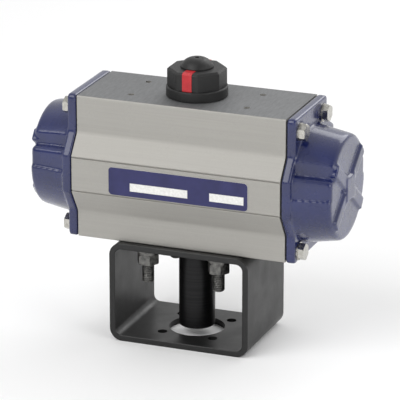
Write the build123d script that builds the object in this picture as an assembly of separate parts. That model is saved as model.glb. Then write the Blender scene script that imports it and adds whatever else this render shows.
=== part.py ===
"""Rotary pneumatic actuator, double rack and pinion, spring return, on its mounting bracket.

Frame: millimetres. The drive axis is Z. The origin is where that axis meets the bracket's
lower face, the face that is bolted to a valve. X runs along the cylinder, -Y is the side
with the nameplate and +Y the side with the air ports. At rest the springs hold it closed.
"""

import math
import os

from build123d import *

# Overall sizes
BODY_LENGTH = 144.0  # aluminium extrusion, along X
BORE_RADIUS = 35.0  # cylinder bore
TOP_WALL = 15.5  # from the bore to the top face
BASE_WALL = 11.0
FRONT_WALL = 5.0  # from the bore to the nameplate face
PORT_WALL = 9.0  # from the bore to the air port face
HALF_WIDTH = 30.0  # top and base faces, along Y
FRONT_FLAT_HALF = 12.3  # half height of the nameplate face
FRONT_SHOULDER_UP = 25.5  # where the upper slope starts
FRONT_SHOULDER_DOWN = -28.0
PORT_FLAT_HALF = 27.0
PORT_SHOULDER = 34.5
CONCAVE_RADIUS = 6.0
EDGE_RADIUS = 1.0
GROOVE_WIDTH = 0.9  # the two drawn lines along the nameplate face
GROOVE_DEPTH = 0.8

# Bracket, a piece of bent plate closed into a box
BRACKET_HEIGHT = 68.0
BRACKET_WIDTH = 97.0
BRACKET_DEPTH = 69.0
BRACKET_WALL = 4.0
BRACKET_BEND = 4.5  # inner radius of its bends

# Interfaces
F07_PITCH = 70.0  # ISO 5211 F07, M8
F07_STUD = 4.0
F07_HOLE = 4.5
F05_PITCH = 50.0  # ISO 5211 F05, M6
F05_TAPPED = 2.5
F05_CLEAR = 3.3
SPIGOT_RADIUS = 17.5  # F05 spigot
SPIGOT_DEPTH = 3.0
VALVE_HOLE = 18.5  # hole in the bracket's lower plate
M5_TAPPED = 2.1
TOP_PATTERN_X = 80.0  # VDI/VDE 3845, accessories on top
TOP_PATTERN_Y = 30.0
SIDE_PATTERN_X = 32.0  # VDI/VDE 3845, solenoid valve
SIDE_PATTERN_Z = 24.0
PORT_SPACING = 24.0
PORT_RADIUS = 5.72  # G 1/4 core hole
PORT_LEVEL = -6.0  # centre of the port pattern below the bore axis
PORT_DEPTH = 7.5
GALLERY_RADIUS = 1.75
DRILLING_RADIUS = 1.5  # from a port to the bore or to the gallery
DRILLING_INSET = 0.4  # from the rim of the port's floor
GALLERY_INSET = 4.5  # from the port face
GALLERY_LEVEL = -24.0

# Rack and pinion
MODULE = 1.25
TEETH = 20
PRESSURE_ANGLE = math.radians(20)
TOOTH_THINNING = 0.05  # taken off each flank's side of a tooth, for backlash
PITCH_RADIUS = MODULE * TEETH / 2
PITCH = math.pi * MODULE
STROKE = PITCH_RADIUS * math.pi / 2  # piston travel for a quarter turn
RACK_HALF_HEIGHT = 11.0
RACK_BACK_GAP = 4.0  # between the back of a rack and the bore
RACK_TIP = 27.5  # how far a rack reaches past the drive axis
RACK_TEETH_FROM = -9.5
PINION_HALF_HEIGHT = 13.0

# Pistons
PISTON_IN = 30.0  # inner face, closed
PISTON_THICK = 14.0
PISTON_CLEAR = 0.2
SEAL_WIDTH = 4.2
SEAL_GROOVE = 3.0
SEAL_AT = 4.4  # from the outer face to the seal's middle
BAND_WIDTH = 4.0
BAND_THICK = 1.5
BAND_AT = 10.6
SLIDE_GAP = 0.06  # seals and guides to the bore

# Shaft
UPPER_JOURNAL = 10.0
LOWER_JOURNAL = 14.0
CAM_SEAT_RADIUS = 12.0
CAM_SEAT_FLAT = 10.5  # half the distance across the seat's flats
BUSH_WALL = 2.0
RUNNING_GAP = 0.05
SHAFT_RISE = 20.0  # above the top face
TANG_RADIUS = 7.0
TANG_FLAT = 5.5
DRIVE_SQUARE = 14.0
DRIVE_DEPTH = 18.0
SHAFT_RECESS = 1.0  # shaft end above the base face

# Stop cam and its two screws
CAM_LOW = 14.5
CAM_THICK = 7.0
CAM_GAP = 3.6  # to the bore
CAM_FACE = 6.0
STOP_RADIUS = 4.0
STOP_OUT = 14.0  # screw end beyond the port face
TOUCH = 0.05

# End caps
GASKET = 0.8
FLANGE_THICK = 6.0
FLANGE_LIP = 0.4
FLANGE_CORNER = 3.0
CAP_DEPTH = 31.2  # from the gasket to the end face
DOME_BASE_RISE = 4.0  # dome's radius over the bore's, at the flange
DOME_TIP_RISE = -0.5
DOME_CUT_BASE = 31.0
DOME_CUT_TIP = 27.0
LOBE_BASE = 37.5
LOBE_TIP = 32.8
LOBE_HALF_BASE = 14.5
LOBE_HALF_TIP = 13.0
DOME_EDGE = 3.0
CHAMBER_INSET = 9.0  # spring chamber's radius below the bore's
CAP_END_WALL = 5.5
RIB_RISE = 1.8
RIB_WIDTH = 8.5
RIB_REACH_Y = 25.8
RIB_REACH_Z = 19.2
PAD_SIDE = 16.0  # blank pad in the middle of the cross
PAD_RISE = 0.7  # over the cross
SCREW_Y = 22.0
SCREW_UP = 41.0
SCREW_DOWN = -39.5
M6 = 3.0
M6_HEAD_FLATS = 10.0
M6_HEAD = 4.0
M6_WASHER = 6.0
M6_WASHER_THICK = 1.2
M6_LENGTH = 22.0

# Springs
SEAT_THICK = 2.0
OUTER_WIRE = 4.5
OUTER_TURNS = 6.0
OUTER_GAP = 2.75  # between the outer spring and its chamber
INNER_WIRE = 3.0
INNER_GAP = 3.75  # between the two springs
INNER_TURNS = 8.0

# Position indicator
SKIRT_RADIUS = 20.2
SKIRT_TOP = 7.0
SKIRT_GAP = 0.6
CAP_FLATS = 36.2
CAP_TOP = 19.0
DOME_RADIUS = 10.9
DOME_RISE = 6.0
MARKER_WIDTH = 6.5
MARKER_THICK = 1.6
MARKER_PROUD = 0.3

# Nameplate
PLATE_LENGTH = 96.0
PLATE_HEIGHT = 18.6
PLATE_THICK = 0.5
PLATE_SHIFT = 2.2  # along X
PLATE_DROP = -1.1
PLATE_CORNER = 2.5
FIELD_DEPTH = 0.15
FIELD_HEIGHT = 5.5
FIELD_DROP = -4.0
FIELDS = ((-11.0, 40.0), (35.8, 23.5))  # centre along X and length

# Coupling
COUPLING_RADIUS = 12.0
COUPLING_DROP = 2.0  # below the base face
COUPLING_FOOT = 6.0
STEM_SQUARE = 11.0
STEM_DEPTH = 20.0

# Places from the bore axis
BORE_TO_TOP = BORE_RADIUS + TOP_WALL
BORE_TO_BASE = BORE_RADIUS + BASE_WALL
FRONT_BULGE = BORE_RADIUS + FRONT_WALL
PORT_FACE = BORE_RADIUS + PORT_WALL
PORT_FLOOR = PORT_FACE - PORT_DEPTH
GALLERY_Y = PORT_FACE - GALLERY_INSET
RACK_BACK = BORE_RADIUS - RACK_BACK_GAP
SPRING_CHAMBER = BORE_RADIUS - CHAMBER_INSET
OUTER_COIL = SPRING_CHAMBER - OUTER_GAP - OUTER_WIRE / 2
INNER_COIL = OUTER_COIL - (OUTER_WIRE + INNER_WIRE) / 2 - INNER_GAP
DOME_BASE = BORE_RADIUS + DOME_BASE_RISE
DOME_TIP = BORE_RADIUS + DOME_TIP_RISE

# Levels
BASE_Z = BRACKET_HEIGHT
BORE_Z = BASE_Z + BORE_TO_BASE
TOP_Z = BORE_Z + BORE_TO_TOP
HALF_LENGTH = BODY_LENGTH / 2
FLANGE_IN = HALF_LENGTH + GASKET
FLANGE_OUT = FLANGE_IN + FLANGE_THICK
CAP_END = FLANGE_IN + CAP_DEPTH
CHAMBER_END = CAP_END - CAP_END_WALL
PISTON_OUT = PISTON_IN + PISTON_THICK
COUPLING_TOP = BASE_Z - COUPLING_DROP
CAM_TOP = CAM_LOW + CAM_THICK
CAM_RADIUS = round(math.sqrt(BORE_RADIUS**2 - CAM_TOP**2) - CAM_GAP, 1)
STOP_X = CAM_RADIUS - STOP_RADIUS
LONG = 400.0


def rod_x(radius, start, end, y=0.0, z=0.0):
    """A round bar along X, its place given from the bore axis."""
    bar = Cylinder(radius, end - start, align=(Align.CENTER, Align.CENTER, Align.MIN))
    return Pos(start, y, BORE_Z + z) * Rot(0, 90, 0) * bar


def rod_y(radius, start, end, x, z):
    bar = Cylinder(radius, end - start, align=(Align.CENTER, Align.CENTER, Align.MIN))
    return Pos(x, start, BORE_Z + z) * Rot(-90, 0, 0) * bar


def rod_z(radius, start, end, x=0.0, y=0.0):
    """A round bar along Z, between two heights in the part's frame."""
    bar = Cylinder(radius, end - start, align=(Align.CENTER, Align.CENTER, Align.MIN))
    return Pos(x, y, start) * bar


def tube_z(outer, inner, start, end, x=0.0, y=0.0):
    return rod_z(outer, start, end, x, y) - rod_z(inner, start - 1, end + 1, x, y)


def block(low, high):
    sides = [high[i] - low[i] for i in range(3)]
    return Pos(*[(low[i] + high[i]) / 2 for i in range(3)]) * Box(*sides)


def hex_z(flats, start, end, x=0.0, y=0.0):
    """A hexagon prism with the turned corners that a nut or screw head has."""
    corner = flats / math.sqrt(3)
    prism = extrude(RegularPolygon(corner, 6), end - start)
    thick = end - start
    turned = Cylinder(corner, thick, align=(Align.CENTER, Align.CENTER, Align.MIN))
    turned = chamfer(turned.edges(), (corner - flats / 2) * 0.9, (corner - flats / 2) * 0.45)
    return Pos(x, y, start) * (prism & turned)


def square_z(flats, start, end):
    return block((-flats / 2, -flats / 2, start), (flats / 2, flats / 2, end))


def corners(pitch):
    """The four places of an ISO 5211 pattern, at 45 degrees to the axes."""
    reach = pitch / 2 / math.sqrt(2)
    return [(sx * reach, sy * reach) for sx in (-1, 1) for sy in (-1, 1)]


def profile_points(lip=0.0):
    """The extrusion's outline in Y and Z from the bore axis, grown by lip on its faces."""
    top, base = BORE_TO_TOP + lip, -BORE_TO_BASE - lip
    side = HALF_WIDTH + lip
    front, back = -FRONT_BULGE - lip, PORT_FACE + lip
    return [
        (-side, top),
        (-side, FRONT_SHOULDER_UP),
        (front, FRONT_FLAT_HALF),
        (front, -FRONT_FLAT_HALF),
        (-side, FRONT_SHOULDER_DOWN),
        (-side, base),
        (side, base),
        (side, -PORT_SHOULDER),
        (back, -PORT_FLAT_HALF),
        (back, PORT_FLAT_HALF),
        (side, PORT_SHOULDER),
        (side, top),
    ]


def profile_face(lip, corner, inset_shoulders=CONCAVE_RADIUS):
    """The outline as a face in the YZ plane, its inner corners and outer corners rounded."""
    points = profile_points(lip)
    face = Plane.YZ * make_face(Polyline(*points, close=True))
    hollow = [points[i] for i in (1, 4, 7, 10)]
    square = [points[i] for i in (0, 5, 6, 11)]

    def near(vertex, wanted):
        return any(abs(vertex.Y - y) < 1e-3 and abs(vertex.Z - z) < 1e-3 for y, z in wanted)

    face = fillet([v for v in face.vertices() if near(v, hollow)], inset_shoulders)
    return fillet([v for v in face.vertices() if near(v, square)], corner)


def profile_solid(lip, corner, start, end):
    solid = extrude(profile_face(lip, corner), end - start, dir=(1, 0, 0))
    return Pos(start, 0, BORE_Z) * solid


def cylinder_body():
    """Extruded aluminium cylinder, bored, with its galleries, ports and tapped holes."""
    body = profile_solid(0.0, EDGE_RADIUS, -HALF_LENGTH, HALF_LENGTH)
    for side in (-1, 1):
        level = side * (FRONT_FLAT_HALF - GROOVE_WIDTH)
        body -= block(
            (-LONG, -FRONT_BULGE - 1, BORE_Z + level - GROOVE_WIDTH / 2),
            (LONG, -FRONT_BULGE + GROOVE_DEPTH, BORE_Z + level + GROOVE_WIDTH / 2),
        )
    body -= rod_x(BORE_RADIUS, -LONG, LONG)
    # Shaft holes: bush seats, the flat under the upper bush, the spigot recess
    body -= rod_z(UPPER_JOURNAL + BUSH_WALL, BORE_Z, TOP_Z + 1)
    body -= rod_z(THRUST_RADIUS + 0.5, BORE_Z, BORE_Z + THRUST_LEVEL)
    body -= rod_z(LOWER_JOURNAL + BUSH_WALL, BASE_Z - 1, BORE_Z)
    body -= rod_z(SPIGOT_RADIUS, BASE_Z - 1, BASE_Z + SPIGOT_DEPTH)
    # Tapped holes in the base and the top
    for x, y in corners(F07_PITCH):
        body -= rod_z(F07_STUD + RUNNING_GAP, BASE_Z - 1, BASE_Z + STUD_IN + 1, x, y)
    for x, y in corners(F05_PITCH):
        body -= rod_z(F05_TAPPED, BASE_Z - 1, BASE_Z + 10, x, y)
    for x in (-TOP_PATTERN_X / 2, TOP_PATTERN_X / 2):
        for y in (-TOP_PATTERN_Y / 2, TOP_PATTERN_Y / 2):
            body -= rod_z(M5_TAPPED, TOP_Z - 10, TOP_Z + 1, x, y)
    # Screw holes of the end caps
    for y, z in screw_places():
        for side in (-1, 1):
            start, end = sorted((side * (HALF_LENGTH - 20), side * (HALF_LENGTH + 1)))
            body -= rod_x(M6 + RUNNING_GAP, start, end, y, z)
    # Air ports. A drilling takes the first into the bore, clear of the rack's guide pad. Another
    # takes the second down to the gallery, which runs to both end caps
    for x in (-PORT_SPACING / 2, PORT_SPACING / 2):
        body -= rod_y(PORT_RADIUS, PORT_FLOOR, PORT_FACE + 1, x, PORT_LEVEL)
    drilling = PORT_LEVEL - PORT_RADIUS + DRILLING_RADIUS + DRILLING_INSET
    body -= rod_y(DRILLING_RADIUS, RACK_BACK, PORT_FLOOR + 1, -PORT_SPACING / 2, drilling)
    body -= rod_x(GALLERY_RADIUS, -LONG, LONG, GALLERY_Y, GALLERY_LEVEL)
    low, high = BORE_Z + GALLERY_LEVEL, BORE_Z + PORT_LEVEL
    body -= rod_z(DRILLING_RADIUS, low, high, PORT_SPACING / 2 - DRILLING_RADIUS, GALLERY_Y)
    for x in (-SIDE_PATTERN_X / 2, SIDE_PATTERN_X / 2):
        for z in (-SIDE_PATTERN_Z / 2, SIDE_PATTERN_Z / 2):
            body -= rod_y(M5_TAPPED, PORT_FACE - 8, PORT_FACE + 1, x, PORT_LEVEL + z)
    # Travel stop screws
    for x in (-STOP_X, STOP_X):
        body -= rod_y(STOP_RADIUS + RUNNING_GAP, 15, PORT_FACE + 1, x, CAM_MIDDLE)
    return body


def screw_places():
    return [(sy * SCREW_Y, z) for sy in (-1, 1) for z in (SCREW_UP, SCREW_DOWN)]


def gasket(side):
    """Flat gasket between the body and a cap, open at the bore, the gallery and the screws."""
    sheet = profile_solid(-1.0, 2.0, HALF_LENGTH, FLANGE_IN)
    sheet -= rod_x(BORE_RADIUS, 0, LONG)
    sheet -= rod_x(GALLERY_RADIUS + 0.5, 0, LONG, GALLERY_Y, GALLERY_LEVEL)
    for y, z in screw_places():
        sheet -= rod_x(M6 + 0.3, 0, LONG, y, z)
    return sheet if side > 0 else mirror(sheet, Plane.YZ)


def tapered_bar(half_y, half_z, half_y_end, half_z_end, start, end):
    """A bar along X whose rectangular section changes evenly from start to end, with the
    edges of its end face and the long edges beside it rounded."""
    first = Pos(start, 0, BORE_Z) * (Plane.YZ * Rectangle(2 * half_y, 2 * half_z))
    last = Pos(end, 0, BORE_Z) * (Plane.YZ * Rectangle(2 * half_y_end, 2 * half_z_end))
    bar = loft([first, last])
    long_edges = [e for e in bar.edges() if start + 1 < e.center().X < end - 1]
    bar = fillet(long_edges, DOME_EDGE + 0.5)
    return fillet(bar.faces().sort_by(Axis.X)[-1].outer_wire().edges(), DOME_EDGE)


def end_cap(side):
    """Cast cap: a flange to the body's outline, a tapered dome with two side lobes, and the
    raised cross and blank pad on its end face. It holds the springs."""
    start = FLANGE_OUT - 1
    run = CAP_END - start
    cone = Cone(DOME_BASE, DOME_TIP, run, align=(Align.CENTER, Align.CENTER, Align.MIN))
    cone = fillet(cone.edges().sort_by(Axis.Z)[-1:], DOME_EDGE)
    dome = Pos(start, 0, BORE_Z) * Rot(0, 90, 0) * cone
    below = block((start - 1, -LONG, BORE_Z - LONG), (CAP_END + 1, LONG, BORE_Z))
    upper = tapered_bar(DOME_CUT_BASE, 60, DOME_CUT_TIP, 60, start, CAP_END)
    dome = (dome & upper) + (dome & below)
    dome += tapered_bar(LOBE_BASE, LOBE_HALF_BASE, LOBE_TIP, LOBE_HALF_TIP, start, CAP_END)
    flange = profile_solid(FLANGE_LIP, FLANGE_CORNER, FLANGE_IN, FLANGE_OUT)
    rim = flange.faces().sort_by(Axis.X)[-1]
    flange = fillet(rim.outer_wire().edges(), 0.9)
    cap = flange + dome
    # Raised cross, kept to the end face's own outline
    reach = math.hypot(RIB_REACH_Y, RIB_REACH_Z)
    angle = math.degrees(math.atan2(RIB_REACH_Z, RIB_REACH_Y))
    cross = Part()
    for turn in (-angle, angle):
        bar = Box(4 * RIB_RISE, 2 * reach, RIB_WIDTH)
        bar = fillet(bar.edges().filter_by(Axis.X), 1.0)
        cross += Pos(CAP_END - RIB_RISE, 0, BORE_Z) * Rot(turn, 0, 0) * bar
    cross = fillet(cross.faces().sort_by(Axis.X)[-1].outer_wire().edges(), 0.6)
    pad = Box(2 * (RIB_RISE + PAD_RISE), PAD_SIDE, PAD_SIDE)
    pad = fillet(pad.faces().sort_by(Axis.X)[-1].edges(), 0.5)
    cap += cross + Pos(CAP_END, 0, BORE_Z) * pad
    # Spring chamber, the way from the gallery into it, and the screw holes
    cap -= rod_x(SPRING_CHAMBER, 0, CHAMBER_END)
    slot = block(
        (FLANGE_IN - 1, 20, BORE_Z + GALLERY_LEVEL - GALLERY_RADIUS),
        (FLANGE_IN + 2.5, GALLERY_Y + GALLERY_RADIUS, BORE_Z + GALLERY_LEVEL + GALLERY_RADIUS),
    )
    cap -= slot
    for y, z in screw_places():
        cap -= rod_x(M6 + 0.3, 0, FLANGE_OUT + 0.1, y, z)
        cap -= rod_x(M6_WASHER + 0.6, FLANGE_OUT - 0.4, CAP_END, y, z)
    return cap if side > 0 else mirror(cap, Plane.YZ)


def cap_screws(side):
    """Four hexagon head screws of one cap, as separate solids."""
    seat = FLANGE_OUT - 0.4 + M6_WASHER_THICK
    screws = []
    for y, z in screw_places():
        shank = chamfer(Cylinder(M6, M6_LENGTH).edges().sort_by(Axis.Z)[:1], 0.8)
        shank = Pos(0, 0, -M6_LENGTH / 2) * shank
        screw = shank + hex_z(M6_HEAD_FLATS, 0, M6_HEAD)
        screws.append(Pos(side * seat, y, BORE_Z + z) * Rot(0, side * 90, 0) * screw)
    return Compound(children=screws)


def cap_washers(side):
    start, end = FLANGE_OUT - 0.4, FLANGE_OUT - 0.4 + M6_WASHER_THICK
    rings = []
    for y, z in screw_places():
        ring = rod_x(M6_WASHER, start, end, y, z) - rod_x(M6 + 0.2, 0, LONG, y, z)
        rings.append(ring if side > 0 else mirror(ring, Plane.YZ))
    return Compound(children=rings)


def involute(angle):
    return math.tan(angle) - angle


def pinion_outline():
    """Outline of the toothed section: involute flanks drawn as short chords."""
    base = PITCH_RADIUS * math.cos(PRESSURE_ANGLE)
    tip = PITCH_RADIUS + MODULE - 0.05
    root = PITCH_RADIUS - 1.25 * MODULE
    half = (PITCH / 4 - TOOTH_THINNING) / PITCH_RADIUS + involute(PRESSURE_ANGLE)
    steps = 6
    flank = [(root, half)]
    for i in range(steps + 1):
        radius = base + (tip - base) * i / steps
        flank.append((radius, half - involute(math.acos(base / radius))))
    points = []
    for tooth in range(TEETH):
        middle = 2 * math.pi * tooth / TEETH
        for radius, turn in flank:
            points.append((radius * math.cos(middle - turn), radius * math.sin(middle - turn)))
        for radius, turn in reversed(flank):
            points.append((radius * math.cos(middle + turn), radius * math.sin(middle + turn)))
    return make_face(Polyline(*points, close=True))


def pinion_shaft():
    """One steel shaft: square socket below, teeth in the middle, cam seat, and the flatted
    and slotted end above the body that accessories are driven from."""
    low, top = BASE_Z + SHAFT_RECESS, TOP_Z + SHAFT_RISE
    teeth = extrude(pinion_outline(), 2 * PINION_HALF_HEIGHT)
    shaft = Pos(0, 0, BORE_Z - PINION_HALF_HEIGHT) * teeth
    shaft += rod_z(LOWER_JOURNAL, low, BORE_Z - PINION_HALF_HEIGHT)
    shaft += rod_z(CAM_SEAT_RADIUS, BORE_Z + PINION_HALF_HEIGHT, BORE_Z + SHOULDER_LEVEL)
    shaft += rod_z(UPPER_JOURNAL, BORE_Z + CAM_LOW, TOP_Z + JOURNAL_RISE)
    shaft += rod_z(TANG_RADIUS, BORE_Z + CAM_LOW, top)
    for side in (-1, 1):
        shaft -= block(
            (-LONG, min(side * CAM_SEAT_FLAT, side * LONG), BORE_Z + CAM_LOW),
            (LONG, max(side * CAM_SEAT_FLAT, side * LONG), BORE_Z + SHOULDER_LEVEL),
        )
        shaft -= block(
            (-LONG, min(side * TANG_FLAT, side * LONG), FLATS_Z),
            (LONG, max(side * TANG_FLAT, side * LONG), top + 1),
        )
    shaft -= square_z(DRIVE_SQUARE, low - 1, low + DRIVE_DEPTH)
    shaft -= rod_z(2.5, top - 16, top + 1)
    shaft -= block((-LONG, -2, top - 4), (LONG, 2, top + 1))
    for groove in (UPPER_RING_Z, LOWER_RING_Z):
        radius = UPPER_JOURNAL if groove > BORE_Z else LOWER_JOURNAL
        shaft -= tube_z(radius + 1, radius - 1.7, groove - 1.3, groove + 1.3)
    shaft -= tube_z(UPPER_JOURNAL + 1, CLIP_SEAT, CLIP_Z, CLIP_Z + CLIP_THICK + 0.1)
    return shaft


def stop_cam():
    """Plate cam keyed to the shaft. One flank meets the closed stop, the other the open stop."""
    low = BORE_Z + CAM_LOW
    cam = rod_z(CAM_RADIUS, low, low + CAM_THICK)
    cam -= block((CAM_FACE, -LONG, low - 1), (LONG, LONG, low + CAM_THICK + 1))
    cam -= block((-LONG, CAM_FACE, low - 1), (LONG, LONG, low + CAM_THICK + 1))
    cam += rod_z(CAM_SEAT_RADIUS + 3.0, low, low + CAM_THICK)
    seat = rod_z(CAM_SEAT_RADIUS + RUNNING_GAP, low - 1, low + CAM_THICK + 1)
    seat &= block(
        (-LONG, -CAM_SEAT_FLAT - RUNNING_GAP, low - 1),
        (LONG, CAM_SEAT_FLAT + RUNNING_GAP, low + CAM_THICK + 1),
    )
    return cam - seat


def upper_bearing():
    """Flanged bush. Its flange takes the shaft's thrust against the spot face in the bore."""
    inner, outer = UPPER_JOURNAL + RUNNING_GAP, UPPER_JOURNAL + BUSH_WALL
    bush = tube_z(outer, inner, BORE_Z + THRUST_LEVEL - 0.5, BORE_Z + THRUST_LEVEL + 9)
    return bush + tube_z(THRUST_RADIUS, inner, BORE_Z + SHOULDER_LEVEL, BORE_Z + THRUST_LEVEL)


def lower_bearing():
    inner, outer = LOWER_JOURNAL + RUNNING_GAP, LOWER_JOURNAL + BUSH_WALL
    return tube_z(outer, inner, BASE_Z + SPIGOT_DEPTH + 3.4, BASE_Z + SPIGOT_DEPTH + 8.8)


def seal_z(journal, level):
    outer = journal + BUSH_WALL - SLIDE_GAP
    inner = journal - 1.6
    face = Plane.XZ * Pos((outer + inner) / 2, level) * Ellipse((outer - inner) / 2, 1.2)
    return revolve(face, Axis.Z)


def piston(side):
    """Piston and rack in one casting, teeth towards the drive axis. The left piston's rack
    lies on the port side and the right piston's on the nameplate side."""
    disc = rod_x(BORE_RADIUS - PISTON_CLEAR, -PISTON_OUT, -PISTON_IN)
    disc = chamfer(disc.edges(), 1.0)
    tips = PITCH_RADIUS - MODULE
    roots = PITCH_RADIUS + 1.25 * MODULE
    arm = block(
        (-PISTON_IN - 1, roots, BORE_Z - RACK_HALF_HEIGHT),
        (RACK_TIP, RACK_BACK, BORE_Z + RACK_HALF_HEIGHT),
    )
    arm += block(
        (RACK_TEETH_FROM, tips, BORE_Z - RACK_HALF_HEIGHT),
        (RACK_TIP, roots + 1, BORE_Z + RACK_HALF_HEIGHT),
    )
    arm = chamfer(arm.edges().filter_by(Axis.Z).sort_by(Axis.X)[-2:], 0.8)
    wide = PITCH / 4 + TOOTH_THINNING + MODULE * math.tan(PRESSURE_ANGLE)
    narrow = PITCH / 4 + TOOTH_THINNING - 1.25 * MODULE * math.tan(PRESSURE_ANGLE)
    slope = (wide - narrow) / (roots - tips)
    first = math.ceil(RACK_TEETH_FROM / PITCH - 0.5)
    last = math.floor(RACK_TIP / PITCH + 0.5)
    spaces = Sketch()
    for i in range(first, last + 1):
        outline = [
            (i * PITCH - wide - slope, tips - 1),
            (i * PITCH + wide + slope, tips - 1),
            (i * PITCH + narrow, roots),
            (i * PITCH - narrow, roots),
        ]
        spaces += make_face(Polyline(*outline, close=True))
    arm -= Pos(0, 0, BORE_Z - RACK_HALF_HEIGHT - 1) * extrude(spaces, 2 * RACK_HALF_HEIGHT + 2)
    body = disc + arm
    body -= guide_pad_block(RACK_BACK - PAD_POCKET - 0.02, LONG, 0.02)
    # Seal and guide band grooves, and the recess of the spring seat
    reach = BORE_RADIUS - PISTON_CLEAR
    for at, width, depth in (
        (SEAL_AT, SEAL_WIDTH, SEAL_GROOVE),
        (BAND_AT, BAND_WIDTH + 0.2, BAND_THICK + 0.1),
    ):
        middle = -PISTON_OUT + at
        groove = rod_x(reach + 1, middle - width / 2, middle + width / 2)
        body -= groove - rod_x(reach - depth, -LONG, LONG)
    body -= rod_x(SPRING_CHAMBER - 1, -PISTON_OUT - 1, -PISTON_OUT + SEAT_THICK)
    return body if side < 0 else Rot(0, 0, 180) * body


def guide_pad_block(low, high, grow=0.0):
    return block(
        (PAD_FROM - grow, low, BORE_Z - PAD_HALF - grow),
        (PAD_TO + grow, min(high, BORE_RADIUS + 5), BORE_Z + PAD_HALF + grow),
    )


def guide_pad(side):
    """Low friction pad let into the back of a rack. It slides on the bore."""
    pad = guide_pad_block(RACK_BACK - PAD_POCKET, LONG)
    pad &= rod_x(BORE_RADIUS - SLIDE_GAP, -LONG, LONG)
    return pad if side < 0 else Rot(0, 0, 180) * pad


def piston_seal(side):
    middle = -PISTON_OUT + SEAL_AT
    outer = BORE_RADIUS - SLIDE_GAP
    inner = BORE_RADIUS - PISTON_CLEAR - SEAL_GROOVE + 0.05
    oval = Ellipse(SEAL_WIDTH / 2 - 0.1, (outer - inner) / 2)
    face = Plane.XZ * Pos(middle, (outer + inner) / 2) * oval
    ring = Pos(0, 0, BORE_Z) * revolve(face, Axis.X)
    return ring if side < 0 else mirror(ring, Plane.YZ)


def guide_band(side):
    middle = -PISTON_OUT + BAND_AT
    band = rod_x(BORE_RADIUS - SLIDE_GAP, middle - BAND_WIDTH / 2, middle + BAND_WIDTH / 2)
    band -= rod_x(BORE_RADIUS - PISTON_CLEAR - BAND_THICK, -LONG, LONG)
    return band if side < 0 else mirror(band, Plane.YZ)


def spring_seat(side):
    """Pressed steel plate in the piston's recess, raised in the middle to centre a spring."""
    outer = SPRING_CHAMBER - 1 - 0.05
    plate = rod_x(outer, PISTON_OUT - SEAT_THICK, PISTON_OUT)
    plate += rod_x(INNER_COIL - INNER_WIRE / 2 - 0.4, PISTON_OUT, PISTON_OUT + 2.5)
    plate -= rod_x(4.0, 0, LONG)
    return plate if side > 0 else mirror(plate, Plane.YZ)


def spring(side, coil, wire, turns):
    """A compression spring between the piston's seat and the end of the cap."""
    start = PISTON_OUT + wire / 2 + TOUCH
    height = CHAMBER_END - PISTON_OUT - wire - 2 * TOUCH
    path = Helix(pitch=height / turns, height=height, radius=coil, center=(0, 0, 0))
    section = Plane(origin=path @ 0, z_dir=path % 0) * Circle(wire / 2)
    coil_solid = sweep(section, path=path, is_frenet=True)
    placed = Pos(start, 0, BORE_Z) * Rot(0, 90, 0) * coil_solid
    return placed if side > 0 else mirror(placed, Plane.YZ)


def stop_screw(x):
    """Socket set screw with a slot at its outer end. Its inner end meets the cam's flank."""
    screw = rod_y(STOP_RADIUS, CAM_FACE + TOUCH, PORT_FACE + STOP_OUT, x, CAM_MIDDLE)
    screw = chamfer(screw.edges().sort_by(Axis.Y), 0.7)
    slot = block(
        (x - STOP_RADIUS - 1, PORT_FACE + STOP_OUT - 2.5, BORE_Z + CAM_MIDDLE - 0.6),
        (x + STOP_RADIUS + 1, PORT_FACE + STOP_OUT + 1, BORE_Z + CAM_MIDDLE + 0.6),
    )
    return screw - slot


def stop_locknuts():
    nuts = []
    start = PORT_FACE + STOP_SEAL
    for x in (-STOP_X, STOP_X):
        nut = hex_z(13.0, 0, 6.5) - rod_z(STOP_RADIUS + RUNNING_GAP, -1, 8)
        nuts.append(Pos(x, start, BORE_Z + CAM_MIDDLE) * Rot(-90, 0, 0) * nut)
    return Compound(children=nuts)


def stop_seals():
    rings = []
    for x in (-STOP_X, STOP_X):
        ring = rod_y(7.0, PORT_FACE, PORT_FACE + STOP_SEAL, x, CAM_MIDDLE)
        rings.append(ring - rod_y(STOP_RADIUS + RUNNING_GAP, 0, LONG, x, CAM_MIDDLE))
    return Compound(children=rings)


def nameplate():
    """Thin printed plate on the front face. Two shallow fields are left to write in."""
    plate = Box(PLATE_LENGTH, PLATE_THICK, PLATE_HEIGHT)
    plate = fillet(plate.edges().filter_by(Axis.Y), PLATE_CORNER)
    plate = Pos(PLATE_SHIFT, -FRONT_BULGE - PLATE_THICK / 2, BORE_Z + PLATE_DROP) * plate
    face = -FRONT_BULGE - PLATE_THICK
    for middle, length in FIELDS:
        low = BORE_Z + FIELD_DROP - FIELD_HEIGHT / 2
        plate -= block(
            (middle - length / 2, face - 1, low),
            (middle + length / 2, face + FIELD_DEPTH, low + FIELD_HEIGHT),
        )
    return plate


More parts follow.
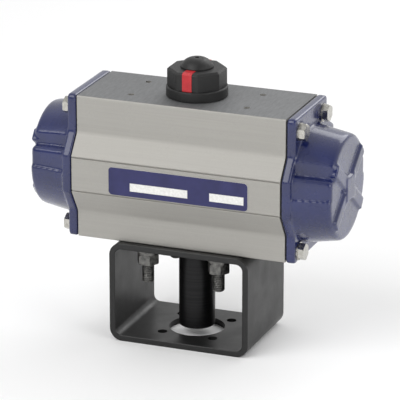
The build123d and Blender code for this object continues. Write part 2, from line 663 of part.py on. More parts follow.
def mounting_bracket():
    """Box of bent plate. The actuator stands on its upper wall, and its lower wall is
    bolted to a valve. The coupling turns in its middle."""
    outer = Plane.XZ * Pos(0, BRACKET_HEIGHT / 2) * RectangleRounded(
        BRACKET_WIDTH, BRACKET_HEIGHT, BRACKET_BEND + BRACKET_WALL
    )
    inner = Plane.XZ * Pos(0, BRACKET_HEIGHT / 2) * RectangleRounded(
        BRACKET_WIDTH - 2 * BRACKET_WALL, BRACKET_HEIGHT - 2 * BRACKET_WALL, BRACKET_BEND
    )
    box = extrude(outer - inner, BRACKET_DEPTH / 2, both=True)
    edges = [e for e in box.edges() if abs(abs(e.center().Y) - BRACKET_DEPTH / 2) < 1e-3]
    box = chamfer(edges, 0.4)
    upper = BRACKET_HEIGHT - BRACKET_WALL - 1
    box -= rod_z(SPIGOT_RADIUS + 0.15, upper, BRACKET_HEIGHT + 1)
    box -= rod_z(VALVE_HOLE, -1, BRACKET_WALL + 1)
    for x, y in corners(F07_PITCH):
        box -= rod_z(F07_HOLE, upper, BRACKET_HEIGHT + 1, x, y)
    for x, y in corners(F05_PITCH):
        box -= rod_z(F05_CLEAR, -1, BRACKET_WALL + 1, x, y)
    return box


def centring_ring():
    """Ring in the spigot recess that centres the bracket on the actuator."""
    ring = tube_z(SPIGOT_RADIUS - 0.05, 15.0, BASE_Z - 2.5, BASE_Z + SPIGOT_DEPTH - 0.1)
    return ring


def stud_set(make):
    return Compound(children=[Pos(x, y, 0) * make() for x, y in corners(F07_PITCH)])


def mounting_stud():
    stud = rod_z(F07_STUD, BASE_Z - STUD_OUT, BASE_Z + STUD_IN)
    return chamfer(stud.edges(), 0.8)


def lock_washer():
    """Split spring washer, its gap cut on a slant."""
    low = PLATE_UNDER - WASHER_THICK - LOCK_THICK
    ring = tube_z(6.7, F07_STUD + 0.1, low, low + LOCK_THICK)
    gap = Pos(5.5, 0, low + LOCK_THICK / 2) * Rot(25, 0, 0) * Box(5, 0.8, 8)
    return ring - gap


def flat_washer():
    return tube_z(8.0, F07_STUD + 0.1, PLATE_UNDER - WASHER_THICK, PLATE_UNDER)


def mounting_nut():
    top = PLATE_UNDER - WASHER_THICK - LOCK_THICK
    return hex_z(13.0, top - 6.5, top) - rod_z(F07_STUD + RUNNING_GAP, 0, LONG)


def drive_coupling():
    """Round steel bar that carries the shaft's turn down to the valve stem: a square tenon
    in the shaft's socket above, and a square socket for the stem below."""
    bar = rod_z(COUPLING_RADIUS, COUPLING_FOOT, COUPLING_TOP)
    bar = chamfer(bar.edges(), 0.8)
    tenon = square_z(DRIVE_SQUARE - 0.2, COUPLING_TOP - 1, BASE_Z + SHAFT_RECESS + DRIVE_DEPTH - 2)
    tenon = chamfer(tenon.edges().filter_by(Axis.Z), 0.8)
    bar += tenon
    return bar - square_z(STEM_SQUARE, COUPLING_FOOT - 1, COUPLING_FOOT + STEM_DEPTH)


def thrust_washer():
    return tube_z(UPPER_JOURNAL + 4, UPPER_JOURNAL + RUNNING_GAP, TOP_Z + 0.05, CLIP_Z)


def retaining_ring():
    """External circlip above the thrust washer. It carries the shaft's weight."""
    ring = tube_z(UPPER_JOURNAL + 2.2, CLIP_SEAT + 0.05, CLIP_Z + 0.02, CLIP_Z + CLIP_THICK)
    gap = block((UPPER_JOURNAL - 4, -1.6, CLIP_Z - 1), (UPPER_JOURNAL + 4, 1.6, CLIP_Z + 3))
    return ring - gap


def indicator_base():
    """Round skirt of the position indicator, seated on the shaft's flats."""
    skirt = rod_z(SKIRT_RADIUS, TOP_Z + SKIRT_GAP, TOP_Z + SKIRT_TOP)
    skirt = fillet(skirt.edges().sort_by(Axis.Z)[-1:], 1.0)
    skirt -= rod_z(UPPER_JOURNAL + 5, TOP_Z, CLIP_Z + CLIP_THICK + 0.4)
    skirt -= rod_z(UPPER_JOURNAL + 0.1, TOP_Z, TOP_Z + JOURNAL_RISE + 0.1)
    skirt -= rod_z(TANG_RADIUS + 0.1, TOP_Z, FLATS_Z + 0.1)
    return skirt - shaft_tang()


def shaft_tang():
    """The room that the shaft's flatted end takes in the indicator's pieces."""
    room = rod_z(TANG_RADIUS + 0.1, TOP_Z, TOP_Z + SHAFT_RISE + 0.1)
    reach = TANG_FLAT + 0.1
    return room & block((-LONG, -reach, TOP_Z), (LONG, reach, TOP_Z + SHAFT_RISE + 1))


def marker_room(grow=0.0):
    """The slot of one marker on the nameplate side: down the flat and along the top."""
    flat = -CAP_FLATS / 2
    half = MARKER_WIDTH / 2 + grow
    level = TOP_Z + CAP_TOP
    side = block(
        (-half, flat - MARKER_PROUD, TOP_Z + SKIRT_TOP),
        (half, flat + MARKER_THICK + grow, level + MARKER_PROUD),
    )
    top = block(
        (-half, flat + MARKER_THICK / 2, level - MARKER_THICK - grow),
        (half, -DOME_RADIUS, level + MARKER_PROUD),
    )
    return side + top


def indicator_cap():
    """Eight sided moulded cap with slots for the two markers and a seat for the plug."""
    prism = extrude(RegularPolygon(CAP_FLATS / 2, 8, major_radius=False), CAP_TOP - SKIRT_TOP)
    prism = Pos(0, 0, TOP_Z + SKIRT_TOP) * Rot(0, 0, 22.5) * prism
    if abs(prism.bounding_box().size.X - CAP_FLATS) > 1e-3:
        prism = Rot(0, 0, 22.5) * prism
    prism = fillet(prism.edges().filter_by(Axis.Z), 1.8)
    prism = chamfer(prism.faces().sort_by(Axis.Z)[-1].outer_wire().edges(), 1.3)
    for turn in (0, 180):
        prism -= Rot(0, 0, turn) * marker_room(0.0)
    prism -= rod_z(DOME_RADIUS, TOP_Z + CAP_TOP - 1.5, LONG)
    prism -= rod_z(TANG_RADIUS + 0.1, TOP_Z + SHAFT_RISE - 3, TOP_Z + CAP_TOP)
    return prism - shaft_tang()


def indicator_markers():
    """Two red inserts. They stand across the pipe when the valve is closed."""
    marker = marker_room()
    outer, halfway = -CAP_FLATS / 2 - MARKER_PROUD, TOP_Z + CAP_TOP / 2
    edge = [
        e
        for e in marker.edges().filter_by(Axis.X)
        if abs(e.center().Y - outer) < 1e-3 and e.center().Z > halfway
    ]
    marker = chamfer(edge, 1.3)
    return Compound(children=[Rot(0, 0, turn) * marker for turn in (0, 180)])


def indicator_screw():
    """M6 socket screw that holds the indicator on the shaft, under the plug."""
    seat = TOP_Z + SHAFT_RISE
    screw = rod_z(5.0, seat, seat + 3.0) + rod_z(2.45, seat - 12, seat + 0.5)
    hole = extrude(RegularPolygon(2.3, 6), 2.0)
    return screw - Pos(0, 0, seat + 1.2) * hole


def indicator_plug():
    """Soft domed plug over the screw."""
    low = TOP_Z + CAP_TOP - 1.4
    rise = DOME_RISE + 1.4
    waist = DOME_RADIUS - 0.1
    arc = ThreePointArc((waist, 2.2), (waist * 0.72, rise * 0.8), (0, rise))
    edge = Polyline((0, rise), (0, 0), (waist, 0), (waist, 2.2))
    dome = revolve(Plane.XZ * make_face([*edge.edges(), arc]), Axis.Z)
    dome = Pos(0, 0, low) * dome
    dome -= rod_z(7.2, low - 1, TOP_Z + SHAFT_RISE + 3.4)
    return dome - rod_z(1.4, TOP_Z + CAP_TOP + DOME_RISE - 0.8, LONG)


# Places that several pieces share
THRUST_RADIUS = 14.5
THRUST_LEVEL = BORE_RADIUS - 1.0  # spot face inside the bore, above the bore axis
SHOULDER_LEVEL = THRUST_LEVEL - 1.2  # where the shaft steps down to its upper journal
JOURNAL_RISE = 4.0
FLATS_Z = TOP_Z + JOURNAL_RISE + 1.5  # where the two flats of the shaft's end start
CLIP_SEAT = 9.2
CLIP_THICK = 1.2
CLIP_Z = TOP_Z + 1.6
UPPER_RING_Z = TOP_Z - 4.0
LOWER_RING_Z = BASE_Z + SPIGOT_DEPTH + 1.7
CAM_MIDDLE = CAM_LOW + CAM_THICK / 2
STOP_SEAL = 1.6
STUD_IN = 12.0
STUD_OUT = 27.0
PLATE_UNDER = BRACKET_HEIGHT - BRACKET_WALL
WASHER_THICK = 1.6
LOCK_THICK = 2.0
PAD_FROM = 5.0
PAD_TO = 24.0
PAD_HALF = 7.0
PAD_POCKET = 1.5

NODES = {
    "cylinder_body": cylinder_body,
    "nameplate": nameplate,
    "upper_bearing": upper_bearing,
    "lower_bearing": lower_bearing,
    "centring_ring": centring_ring,
    "mounting_bracket": mounting_bracket,
    "mounting_studs": lambda: stud_set(mounting_stud),
    "mounting_flat_washers": lambda: stud_set(flat_washer),
    "mounting_lock_washers": lambda: stud_set(lock_washer),
    "mounting_nuts": lambda: stud_set(mounting_nut),
    "stop_screw_closed": lambda: stop_screw(-STOP_X),
    "stop_screw_open": lambda: stop_screw(STOP_X),
    "stop_locknuts": stop_locknuts,
    "stop_seals": stop_seals,
    "pinion_shaft": pinion_shaft,
    "stop_cam": stop_cam,
    "upper_shaft_seal": lambda: seal_z(UPPER_JOURNAL, UPPER_RING_Z),
    "lower_shaft_seal": lambda: seal_z(LOWER_JOURNAL, LOWER_RING_Z),
    "thrust_washer": thrust_washer,
    "retaining_ring": retaining_ring,
    "drive_coupling": drive_coupling,
    "indicator_base": indicator_base,
    "indicator_cap": indicator_cap,
    "indicator_markers": indicator_markers,
    "indicator_screw": indicator_screw,
    "indicator_plug": indicator_plug,
}
PAIRS = {
    "end_cap": end_cap,
    "cap_gasket": gasket,
    "cap_screws": cap_screws,
    "cap_washers": cap_washers,
    "piston_rack": piston,
    "piston_seal": piston_seal,
    "piston_guide_band": guide_band,
    "rack_guide_pad": guide_pad,
    "spring_seat": spring_seat,
    "outer_spring": lambda side: spring(side, OUTER_COIL, OUTER_WIRE, OUTER_TURNS),
    "inner_spring": lambda side: spring(side, INNER_COIL, INNER_WIRE, INNER_TURNS),
}


def main():
    os.makedirs("parts", exist_ok=True)
    for name, make in NODES.items():
        export_step(make(), f"parts/{name}.step")
    for name, make in PAIRS.items():
        for word, side in (("left", -1), ("right", 1)):
            export_step(make(side), f"parts/{name}_{word}.step")


main()
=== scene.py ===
"""The looks of a rotary pneumatic actuator on its mounting bracket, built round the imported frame.

The sections follow the actuator as it is put together on the bench. Lengths are in metres.
"""

import math

import bpy
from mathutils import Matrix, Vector


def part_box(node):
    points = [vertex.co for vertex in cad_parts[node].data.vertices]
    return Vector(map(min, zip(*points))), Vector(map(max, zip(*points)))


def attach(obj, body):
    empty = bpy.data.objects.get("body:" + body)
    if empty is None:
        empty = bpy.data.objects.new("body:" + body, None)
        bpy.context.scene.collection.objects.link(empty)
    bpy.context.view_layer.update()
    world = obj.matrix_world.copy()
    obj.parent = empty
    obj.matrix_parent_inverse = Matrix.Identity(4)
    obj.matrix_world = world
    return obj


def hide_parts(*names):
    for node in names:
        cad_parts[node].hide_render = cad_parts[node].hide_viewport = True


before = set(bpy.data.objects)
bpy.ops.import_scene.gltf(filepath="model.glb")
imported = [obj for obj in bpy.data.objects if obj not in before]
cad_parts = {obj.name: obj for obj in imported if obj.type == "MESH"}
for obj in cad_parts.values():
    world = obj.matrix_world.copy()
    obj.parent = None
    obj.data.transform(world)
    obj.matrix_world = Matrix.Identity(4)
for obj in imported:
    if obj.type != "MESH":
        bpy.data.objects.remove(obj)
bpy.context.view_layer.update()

# The camera and the lights. The actuator is seen from its nameplate side, a little to the right
# and from above, through a long lens. A wide soft light stands in front on the left, a second on
# the right, a third low in front and a fourth behind.
MM = 0.001
VIEW_AZIMUTH = math.radians(21.3)
VIEW_ELEVATION = math.radians(19.0)
VIEW_DISTANCE = 2.2
VIEW_WIDTH = 0.262  # what the frame holds at the actuator
VIEW_CENTRE = Vector((0.002, 0, 0.0925))
VIEW_END = 20  # past the far edge of the floor


def direction(azimuth, elevation):
    """From the actuator towards a place round it, as a unit vector."""
    flat = math.cos(elevation)
    return Vector((math.sin(azimuth) * flat, -math.cos(azimuth) * flat, math.sin(elevation)))


def aim(thing, place, target):
    thing.location = place
    thing.rotation_euler = (target - place).to_track_quat("-Z", "Y").to_euler()


def linear(code):
    """An sRGB hex colour as linear red, green, blue and alpha."""
    parts = [int(code[i : i + 2], 16) / 255 for i in (1, 3, 5)]
    return [c / 12.92 if c <= 0.04045 else ((c + 0.055) / 1.055) ** 2.4 for c in parts] + [1.0]


def add(tree, kind, values=None, links=None, **settings):
    """Adds one node, with its settings, its sockets' values and the sockets that feed it."""
    node = tree.nodes.new("ShaderNode" + kind)
    for key, value in settings.items():
        setattr(node, key, value)
    for key, value in (values or {}).items():
        node.inputs[key].default_value = value
    for key, socket in (links or {}).items():
        tree.links.new(socket, node.inputs[key])
    return node


camera = bpy.data.objects.new("camera", bpy.data.cameras.new("camera"))
bpy.context.collection.objects.link(camera)
camera.data.angle = 2 * math.atan(VIEW_WIDTH / 2 / VIEW_DISTANCE)
camera.data.clip_end = VIEW_END
aim(camera, VIEW_CENTRE + direction(VIEW_AZIMUTH, VIEW_ELEVATION) * VIEW_DISTANCE, VIEW_CENTRE)
bpy.context.scene.camera = camera
bpy.context.scene.view_settings.view_transform = "Standard"

LAMPS = {  # azimuth, elevation, distance, size across, watts
    "key": (-30, 42, 1.8, 1.6, 19.0),
    "fill": (70, 20, 1.7, 1.1, 7.0),
    "front": (8, 10, 2.8, 2.0, 9.0),
    "back": (165, 38, 1.7, 1.2, 8.0),
}
for name, (azimuth, elevation, distance, across, power) in LAMPS.items():
    lamp = bpy.data.objects.new(name + "_light", bpy.data.lights.new(name + "_light", "AREA"))
    bpy.context.collection.objects.link(lamp)
    lamp.data.shape = "DISK"
    lamp.data.size = across
    lamp.data.energy = power
    towards = direction(math.radians(azimuth), math.radians(elevation))
    aim(lamp, VIEW_CENTRE + towards * distance, VIEW_CENTRE)

# The room. White where the camera looks straight at it, with white paper under the actuator. It
# lights the actuator less from the camera's side, so that the near paint keeps its depth.
ROOM_DARK = 0.2
ROOM_PALE = 0.85
DARK_TO = -0.7  # along Y, on a ball round the actuator
PALE_FROM = 0.35
FLOOR_ACROSS = 9
world = bpy.data.worlds.new("studio")
world.use_nodes = True
bpy.context.scene.world = world
surround = world.node_tree.nodes["Background"]
rays = add(world.node_tree, "LightPath")
ways = add(world.node_tree, "TexCoord").outputs["Generated"]
depth_way = add(world.node_tree, "SeparateXYZ", links={"Vector": ways}).outputs["Y"]
limits = {"From Min": DARK_TO, "From Max": PALE_FROM, "To Min": ROOM_DARK, "To Max": ROOM_PALE}
room = add(world.node_tree, "MapRange", limits, {"Value": depth_way}).outputs["Result"]
straight = [rays.outputs["Is Camera Ray"], rays.outputs["Is Transmission Ray"]]
links = dict(enumerate(straight))
seen = add(world.node_tree, "Math", links=links, operation="MAXIMUM").outputs[0]
strength = add(world.node_tree, "Math", links={0: seen, 1: room}, operation="MAXIMUM").outputs[0]
surround.inputs["Color"].default_value = linear("#FFFFFF")
world.node_tree.links.new(strength, surround.inputs["Strength"])

bpy.ops.mesh.primitive_plane_add(size=FLOOR_ACROSS)
floor = bpy.context.object
floor.name = "studio_floor"
floor_finish = bpy.data.materials.new("matt_paper")
floor_finish.use_nodes = True
paper = floor_finish.node_tree.nodes["Principled BSDF"]
paper.inputs["Base Color"].default_value = linear("#FAFAFA")
paper.inputs["Roughness"].default_value = 0.9
floor.data.materials.append(floor_finish)


# The cylinder. A length of extruded aluminium, bored and honed inside, bead blasted and clear
# anodised outside. The milled top face has a closer grain than the drawn sides, and a darker grey
# painted on as shade.
def new_material(name, colour, roughness, metallic=0.0, **shader):
    """A material with one Principled shader, its node tree, and the piece's own coordinates."""
    made = bpy.data.materials.new(name)
    made.use_nodes = True
    tree = made.node_tree
    body = tree.nodes["Principled BSDF"]
    body.inputs["Base Color"].default_value = linear(colour)
    body.inputs["Roughness"].default_value = roughness
    body.inputs["Metallic"].default_value = metallic
    for key, value in shader.items():
        body.inputs[key.replace("_", " ")].default_value = value
    return made, tree, body, add(tree, "TexCoord").outputs["Object"]


def grain(tree, where, size, detail=2.0, stretch=(1, 1, 1)):
    """Noise whose grains are about that size, longer where stretch is above 1."""
    scale = [1 / size / s for s in stretch]
    mapped = add(tree, "Mapping", {"Scale": scale}, {"Vector": where})
    links = {"Vector": mapped.outputs["Vector"]}
    return add(tree, "TexNoise", {"Scale": 1.0, "Detail": detail}, links).outputs["Fac"]


def shade(tree, amount, low, high, start=0.3, end=0.7):
    """A colour that runs from low to high as amount goes from start to end."""
    node = add(tree, "ValToRGB", links={"Fac": amount})
    node.color_ramp.elements[0].position = start
    node.color_ramp.elements[1].position = end
    node.color_ramp.elements[0].color = linear(low)
    node.color_ramp.elements[1].color = linear(high)
    return node.outputs["Color"]


def blend(tree, amount, first, second):
    """The first colour where the amount is 0, and the second where it is 1."""
    links = {0: amount, 6: first, 7: second}  # the colour sockets of a Mix node
    return add(tree, "Mix", links=links, data_type="RGBA").outputs[2]


def spread(tree, amount, low, high):
    """A number that runs from low to high with the noise, for roughness."""
    values = {"From Min": 0.3, "From Max": 0.7, "To Min": low, "To Max": high}
    return add(tree, "MapRange", values, {"Value": amount}).outputs["Result"]


def emboss(tree, body, height, depth, strength=1.0):
    """Relief of that depth on the shader, from a height between 0 and 1."""
    links = {"Height": height}
    bump = add(tree, "Bump", {"Distance": depth, "Strength": strength}, links)
    tree.links.new(bump.outputs["Normal"], body.inputs["Normal"])


def above(tree, where, axis, limit):
    """1 where the piece's own coordinate on that axis is over the limit, else 0."""
    way = add(tree, "SeparateXYZ", links={"Vector": where}).outputs[axis]
    return add(tree, "Math", {1: limit}, {0: way}, operation="GREATER_THAN").outputs[0]


BLAST_GRIT = 1.1 * MM  # real bead marks are 0.1 mm, drawn as coarse as they need to show
DRAW_LINE = 0.9 * MM
DRAW_STRETCH = 90
MILL_STRETCH = 6
SKIN = 0.05 * MM


def anodised_extrusion(top_level):
    """Blasted, anodised aluminium: a fine sparkle, with faint lines along the way it was drawn."""
    made, tree, body, where = new_material("anodised_extrusion", "#A9A7A2", 0.6, 0.75)
    grit = grain(tree, where, BLAST_GRIT, 3.0)
    lines = grain(tree, where, DRAW_LINE, 2.0, (DRAW_STRETCH, 1, 1))
    blasted = shade(tree, grit, "#A6A49F", "#B4B2AD")
    drawn = shade(tree, lines, "#A9A7A2", "#B0AEA9")
    sides = blend(tree, grain(tree, where, 14 * MM), blasted, drawn)
    cuts = grain(tree, where, BLAST_GRIT, 2.0, (1, MILL_STRETCH, 1))
    # painted shade: the top face is painted a darker grey than the sides, with its milled cut lines
    # in it
    milled_lines_and_painted_shade = shade(tree, cuts, "#7A7B7C", "#858687")
    painted_shade_top = above(tree, where, "Z", top_level)
    tree.links.new(blend(tree, painted_shade_top, sides, milled_lines_and_painted_shade), body.inputs["Base Color"])
    tree.links.new(spread(tree, grit, 0.58, 0.68), body.inputs["Roughness"])
    emboss(tree, body, grit, SKIN, 0.5)
    return made


def wear(material, *names):
    """Gives CAD nodes that material in every slot."""
    for name in names:
        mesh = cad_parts[name].data
        mesh.materials.clear()
        mesh.materials.append(material)


top_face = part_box("cylinder_body")[1][2]
wear(anodised_extrusion(top_face - SKIN), "cylinder_body")


# The pistons and racks, die cast aluminium with machined teeth, and what they carry: the acetal
# guides, the nitrile seals and the plated plates that the springs press on.
def die_cast_aluminium():
    """Machined casting: bright, with soft flow marks in the skin."""
    made, tree, body, where = new_material("die_cast_aluminium", "#B9BABB", 0.35, 1.0)
    flow = grain(tree, where, 7 * MM, 4.0)
    tree.links.new(shade(tree, flow, "#A8A9AB", "#C6C7C8"), body.inputs["Base Color"])
    tree.links.new(spread(tree, flow, 0.28, 0.45), body.inputs["Roughness"])
    emboss(tree, body, grain(tree, where, 1.4 * MM), 0.03 * MM, 0.4)
    return made


def acetal():
    """Natural acetal: milky, waxy and a little see-through at thin edges."""
    made, tree, body, where = new_material("acetal", "#E6E1CF", 0.38, 0.0)
    body.inputs["Subsurface Weight"].default_value = 0.08
    body.inputs["Subsurface Radius"].default_value = (1 * MM, 1 * MM, 0.8 * MM)
    cloud = grain(tree, where, 5 * MM)
    tree.links.new(shade(tree, cloud, "#DDD7C2", "#ECE8DA"), body.inputs["Base Color"])
    return made


def nitrile_rubber():
    """Black rubber: dull, with a dusty bloom in patches."""
    made, tree, body, where = new_material("nitrile_rubber", "#181818", 0.7, 0.0)
    bloom = grain(tree, where, 2.5 * MM, 3.0)
    tree.links.new(shade(tree, bloom, "#131313", "#232323"), body.inputs["Base Color"])
    tree.links.new(spread(tree, bloom, 0.6, 0.8), body.inputs["Roughness"])
    return made


def nickel_plated_steel():
    """Turned steel under thin nickel: a warm grey with fine tool lines round the axis."""
    made, tree, body, where = new_material("nickel_plated_steel", "#9E9B94", 0.25, 1.0)
    tool = grain(tree, where, 0.9 * MM, 2.0, (30, 30, 1))
    tree.links.new(shade(tree, tool, "#918E87", "#ABA8A1"), body.inputs["Base Color"])
    tree.links.new(spread(tree, tool, 0.2, 0.34), body.inputs["Roughness"])
    return made


def both(*names):
    return [name + side for name in names for side in ("_left", "_right")]


plastic_bearing = acetal()
seal_rubber = nitrile_rubber()
plated_steel = nickel_plated_steel()
wear(die_cast_aluminium(), *both("piston_rack"))
wear(plastic_bearing, *both("piston_guide_band", "rack_guide_pad"))
wear(seal_rubber, *both("piston_seal"))
wear(plated_steel, *both("spring_seat"))

# The pinion shaft, its cam and its bearings. One steel shaft turns in two acetal bushes behind
# nitrile rings, and a circlip above an acetal washer holds it up.
wear(plated_steel, "pinion_shaft", "stop_cam", "centring_ring")
wear(plastic_bearing, "upper_bearing", "lower_bearing", "thrust_washer")
wear(seal_rubber, "upper_shaft_seal", "lower_shaft_seal")


# The springs, four coils of round wire with a dull blue-grey coat against rust.
def coated_wire():
    """Electrocoated spring wire: smooth and even, rubbed brighter in patches."""
    made, tree, body, where = new_material("coated_wire", "#3A3F49", 0.4, 0.3)
    rub = grain(tree, where, 6 * MM, 3.0)
    tree.links.new(shade(tree, rub, "#2F343D", "#4A505B", 0.4, 0.8), body.inputs["Base Color"])
    tree.links.new(spread(tree, rub, 0.32, 0.5), body.inputs["Roughness"])
    return made


wear(coated_wire(), *both("outer_spring", "inner_spring"))


# The end caps, cast in aluminium and dipped in gloss blue epoxy. The casting's inner corners and
# edges are soft, so each cap is shaped again from its frame piece with a small radius all over.
CAST_DETAIL = 0.75 * MM
CAST_SOFTENING = 7  # passes
MERGE = 0.002 * MM


def gloss_blue_epoxy():
    """Thick glossy paint over a casting: slow ripples, and a coat that reflects sharply."""
    made, tree, body, where = new_material(
        "gloss_blue_epoxy", "#1A2458", 0.28, 0.0, Coat_Weight=0.5, Coat_Roughness=0.06
    )
    ripple = grain(tree, where, 8 * MM, 1.0)
    pool = grain(tree, where, 22 * MM, 2.0)
    tree.links.new(shade(tree, pool, "#141C48", "#1A2459"), body.inputs["Base Color"])
    tree.links.new(spread(tree, ripple, 0.24, 0.3), body.inputs["Roughness"])
    emboss(tree, body, ripple, 0.1 * MM, 0.3)
    return made


def deselect():
    """Leaves edit mode and lets go of every object."""
    if bpy.context.mode != "OBJECT":
        bpy.ops.object.mode_set(mode="OBJECT")
    bpy.ops.object.select_all(action="DESELECT")


def pick(thing):
    """Selects one object alone and makes it the active one."""
    deselect()
    thing.select_set(True)
    bpy.context.view_layer.objects.active = thing


def apply_all(thing):
    """Applies every modifier of a piece, in order."""
    pick(thing)
    for name in [m.name for m in thing.modifiers]:
        bpy.ops.object.modifier_apply(modifier=name)


def copy_of(node, name):
    """A merged copy of a CAD node's mesh, as a new object at the origin."""
    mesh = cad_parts[node].data.copy()
    piece = bpy.data.objects.new(name, mesh)
    bpy.context.collection.objects.link(piece)
    pick(piece)
    bpy.ops.object.mode_set(mode="EDIT")
    bpy.ops.mesh.select_all(action="SELECT")
    bpy.ops.mesh.remove_doubles(threshold=MERGE)
    bpy.ops.object.mode_set(mode="OBJECT")
    return piece


epoxy = gloss_blue_epoxy()
for side in ("left", "right"):
    cap = copy_of("end_cap_" + side, "cast_end_cap_" + side)
    remesh = cap.modifiers.new("casting", "REMESH")
    remesh.mode = "VOXEL"
    remesh.voxel_size = CAST_DETAIL
    soften = cap.modifiers.new("soft_edges", "SMOOTH")
    soften.factor = 0.5
    soften.iterations = CAST_SOFTENING
    apply_all(cap)
    bpy.ops.object.shade_smooth()
    cap.data.materials.clear()
    cap.data.materials.append(epoxy)
    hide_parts("end_cap_" + side)
    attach(cap, "housing")
wear(seal_rubber, *both("cap_gasket"))


# The cap screws with their washers, and the locknuts of the stop screws. Cold formed stainless,
# tumbled bright.
def tumbled_stainless():
    """Bright stainless: pale, with small dents and smears from tumbling."""
    made, tree, body, where = new_material("tumbled_stainless", "#BDBBB5", 0.25, 1.0)
    smear = grain(tree, where, 2.2 * MM, 3.0)
    tree.links.new(shade(tree, smear, "#AAA8A2", "#C6C4BE"), body.inputs["Base Color"])
    tree.links.new(spread(tree, smear, 0.16, 0.34), body.inputs["Roughness"])
    emboss(tree, body, smear, 0.04 * MM, 0.4)
    return made


stainless = tumbled_stainless()
wear(stainless, *both("cap_screws", "cap_washers"))
wear(stainless, "stop_locknuts")
wear(seal_rubber, "stop_seals")


# The mounting bracket, steel plate bent round and closed by a weld, blasted and painted a satin
# black. The paint is thinner and greyer where fingers and spanners have rubbed it.
def satin_black_paint():
    """Satin enamel over blasted steel: deep black, with orange peel and greyer rubbed patches."""
    made, tree, body, where = new_material("satin_black_paint", "#1B1B1B", 0.42, 0.0)
    rub = grain(tree, where, 18 * MM, 5.0)
    peel = grain(tree, where, 1.3 * MM, 2.0)
    tree.links.new(shade(tree, rub, "#0F0F0F", "#191919"), body.inputs["Base Color"])
    tree.links.new(spread(tree, rub, 0.34, 0.5), body.inputs["Roughness"])
    emboss(tree, body, peel, 0.05 * MM, 0.5)
    return made


wear(satin_black_paint(), "mounting_bracket")


# The studs that hold the bracket up to the cylinder. Rolled M8 threads over their whole length,
# in dull zinc like the nuts and the two washers under each.
STUD_NOMINAL = 4.0 * MM
STUD_RADIUS = 3.98 * MM
STUD_PITCH = 1.25 * MM
THREAD_DEPTH = 0.6  # share of the pitch
THREAD_ROUND = 32  # points round a thread
THREAD_STEPS = 6  # rings for each turn of it
FIRST_CUTS = 7  # the rings are cut in two steps, as one takes 100 at most
END_BEVEL = 1.2  # share of the thread's depth


def dull_zinc():
    """Zinc plate gone dull: a mottled mid grey with darker blooms."""
    made, tree, body, where = new_material("dull_zinc", "#6B6B69", 0.42, 1.0)
    bloom = grain(tree, where, 2.0 * MM, 4.0)
    tree.links.new(shade(tree, bloom, "#575756", "#83827F"), body.inputs["Base Color"])
    tree.links.new(spread(tree, bloom, 0.34, 0.55), body.inputs["Roughness"])
    return made


def threaded_rod(name, radius, pitch, length):
    """A rod on Z from 0 up to its length, its thread cut by a helical wave in its side."""
    deselect()
    bpy.ops.mesh.primitive_cylinder_add(
        vertices=THREAD_ROUND, radius=radius, depth=length, location=(0, 0, length / 2)
    )
    rod = bpy.context.object
    rod.name = name
    bpy.ops.object.transform_apply(location=True)
    bpy.context.tool_settings.mesh_select_mode = (False, True, False)
    rings = length / pitch * THREAD_STEPS
    for cuts in (FIRST_CUTS, int(rings / (FIRST_CUTS + 1))):
        bpy.ops.object.mode_set(mode="EDIT")
        bpy.ops.mesh.select_all(action="DESELECT")
        bpy.ops.object.mode_set(mode="OBJECT")
        for edge in rod.data.edges:
            first, last = (rod.data.vertices[v].co for v in edge.vertices)
            edge.select = abs(first.z - last.z) > 0.01 * MM
        bpy.ops.object.mode_set(mode="EDIT")
        bpy.ops.mesh.subdivide(number_cuts=cuts)
        bpy.ops.object.mode_set(mode="OBJECT")
    depth = THREAD_DEPTH * pitch
    for vertex in rod.data.vertices:
        turn = math.atan2(vertex.co.y, vertex.co.x) / (2 * math.pi)
        phase = (vertex.co.z / pitch - turn) % 1.0
        # flat at the root for an eighth of a turn, then a straight flank up to the flat crest
        cut = depth * min(1.0, max(0.0, 1.25 - abs(phase - 0.5) * 4))
        near_end = min(vertex.co.z, length - vertex.co.z)
        cut = max(cut, depth * END_BEVEL * max(0.0, 1 - near_end / depth))
        reach = (radius - cut) / radius
        vertex.co.x *= reach
        vertex.co.y *= reach
    for face in rod.data.polygons:
        face.use_smooth = abs(face.normal.z) < 0.9
    return rod


def place(piece, where, axis_turn=(0, 0, 0)):
    """Puts a piece at its place by moving its mesh, so that its object stays at the origin."""
    piece.location = where
    piece.rotation_euler = axis_turn
    pick(piece)
    bpy.ops.object.transform_apply(location=True, rotation=True)


def join(pieces, name):
    """Makes one object of several."""
    deselect()
    for piece in pieces:
        piece.select_set(True)
    bpy.context.view_layer.objects.active = pieces[0]
    bpy.ops.object.join()
    bpy.context.object.name = name
    return bpy.context.object


def twin(piece):
    """A copy of a piece with its own mesh."""
    other = piece.copy()
    other.data = piece.data.copy()
    bpy.context.collection.objects.link(other)
    return other


zinc = dull_zinc()
wear(zinc, "mounting_nuts", "mounting_flat_washers", "mounting_lock_washers")
stud_low, stud_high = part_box("mounting_studs")
stud_reach = stud_high[0] - STUD_NOMINAL
studs = [threaded_rod("threaded_stud", STUD_RADIUS, STUD_PITCH, stud_high[2] - stud_low[2])]
studs[0].data.materials.append(zinc)
studs += [twin(studs[0]) for _ in range(3)]
for piece, (x, y) in zip(studs, [(-1, -1), (-1, 1), (1, -1), (1, 1)]):
    place(piece, (x * stud_reach, y * stud_reach, stud_low[2]))
studs = join(studs, "threaded_studs")
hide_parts("mounting_studs")
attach(studs, "housing")

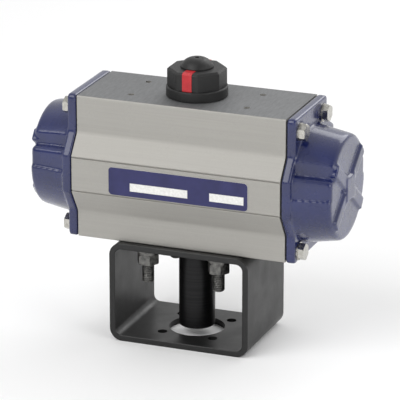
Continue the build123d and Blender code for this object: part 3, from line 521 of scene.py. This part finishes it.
# The two travel stop screws, stainless M8 set screws with a screwdriver slot in the outer end.
# Each goes through its locknut and a rubber ring that seals its thread.
SLOT_WIDTH = 1.2 * MM
SLOT_DEPTH = 2.5 * MM
for state in ("closed", "open"):
    low, high = (Vector(corner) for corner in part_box("stop_screw_" + state))
    middle = (low + high) / 2
    screw = threaded_rod("threaded_stop_screw_" + state, STUD_RADIUS, STUD_PITCH, high.y - low.y)
    screw.data.materials.append(stainless)
    place(screw, (middle.x, low.y, middle.z), (-math.pi / 2, 0, 0))
    deselect()
    bpy.ops.mesh.primitive_cube_add(size=1, location=(middle.x, high.y, middle.z))
    cutter = bpy.context.object
    cutter.scale = (3 * STUD_RADIUS, 2 * SLOT_DEPTH, SLOT_WIDTH)
    slot_cut = screw.modifiers.new("slot", "BOOLEAN")
    slot_cut.object = cutter
    slot_cut.operation = "DIFFERENCE"
    apply_all(screw)
    bpy.data.objects.remove(cutter)
    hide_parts("stop_screw_" + state)
    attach(screw, state + "_stop")


# The drive coupling, a turned steel bar blackened in hot oil, and the same black on the circlip
# and on the indicator's screw.
def black_oxide():
    """Oil blackened steel: near black, with a soft metal shine and faint turning rings."""
    made, tree, body, where = new_material("black_oxide", "#232324", 0.36, 0.7)
    rings = grain(tree, where, 0.8 * MM, 1.0, (40, 40, 1))
    tree.links.new(shade(tree, rings, "#1E1E1F", "#272728"), body.inputs["Base Color"])
    tree.links.new(spread(tree, rings, 0.32, 0.38), body.inputs["Roughness"])
    return made


wear(black_oxide(), "drive_coupling", "retaining_ring", "indicator_screw")


# The position indicator, moulded in black nylon with a spark eroded texture. Two red inserts snap
# into its slots, and a softer black plug with a coarser grain covers the screw.
def moulded_nylon(name, low, high, texture, depth):
    """Black nylon: near matt, with the fine pits that the mould's skin leaves."""
    made, tree, body, where = new_material(name, low, 0.5, 0.0)
    skin = grain(tree, where, texture, 3.0)
    tree.links.new(shade(tree, skin, low, high), body.inputs["Base Color"])
    tree.links.new(spread(tree, skin, 0.4, 0.6), body.inputs["Roughness"])
    emboss(tree, body, skin, depth, 0.6)
    return made


def moulded_red_abs():
    """Glossy red plastic with slight, uneven sinks in its face."""
    made, tree, body, where = new_material("moulded_red_abs", "#B81A24", 0.34, 0.0)
    sink = grain(tree, where, 4 * MM, 2.0)
    tree.links.new(shade(tree, sink, "#AE1620", "#C01F29"), body.inputs["Base Color"])
    emboss(tree, body, sink, 0.08 * MM, 0.5)
    return made


nylon = moulded_nylon("spark_textured_nylon", "#0D0D0D", "#161616", 0.9 * MM, 0.05 * MM)
wear(nylon, "indicator_base", "indicator_cap")
soft_black = moulded_nylon("soft_grained_plug", "#0A0A0A", "#181818", 1.3 * MM, 0.16 * MM)
wear(soft_black, "indicator_plug")
wear(moulded_red_abs(), "indicator_markers")

# The nameplate, thin aluminium anodised navy blue and riveted flat. Two shallow fields and the
# cut edges are left bare, and dull white. It carries no print.
FIELD_DEPTH = 0.15 * MM
plate_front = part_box("nameplate")[0][1]


def anodised_nameplate(face, field_depth):
    """Navy dye in the anodised skin, a shade uneven, and bare brushed metal below it."""
    made, tree, body, where = new_material("anodised_nameplate", "#25265C", 0.35, 0.0)
    dye = shade(tree, grain(tree, where, 9 * MM), "#1D1E50", "#25265C")
    bare = shade(tree, grain(tree, where, 1.5 * MM), "#DCDCD8", "#EDEDEA")
    sunk = above(tree, where, "Y", face + field_depth / 2)
    tree.links.new(blend(tree, sunk, dye, bare), body.inputs["Base Color"])
    return made


wear(anodised_nameplate(plate_front, FIELD_DEPTH), "nameplate")

deselect()
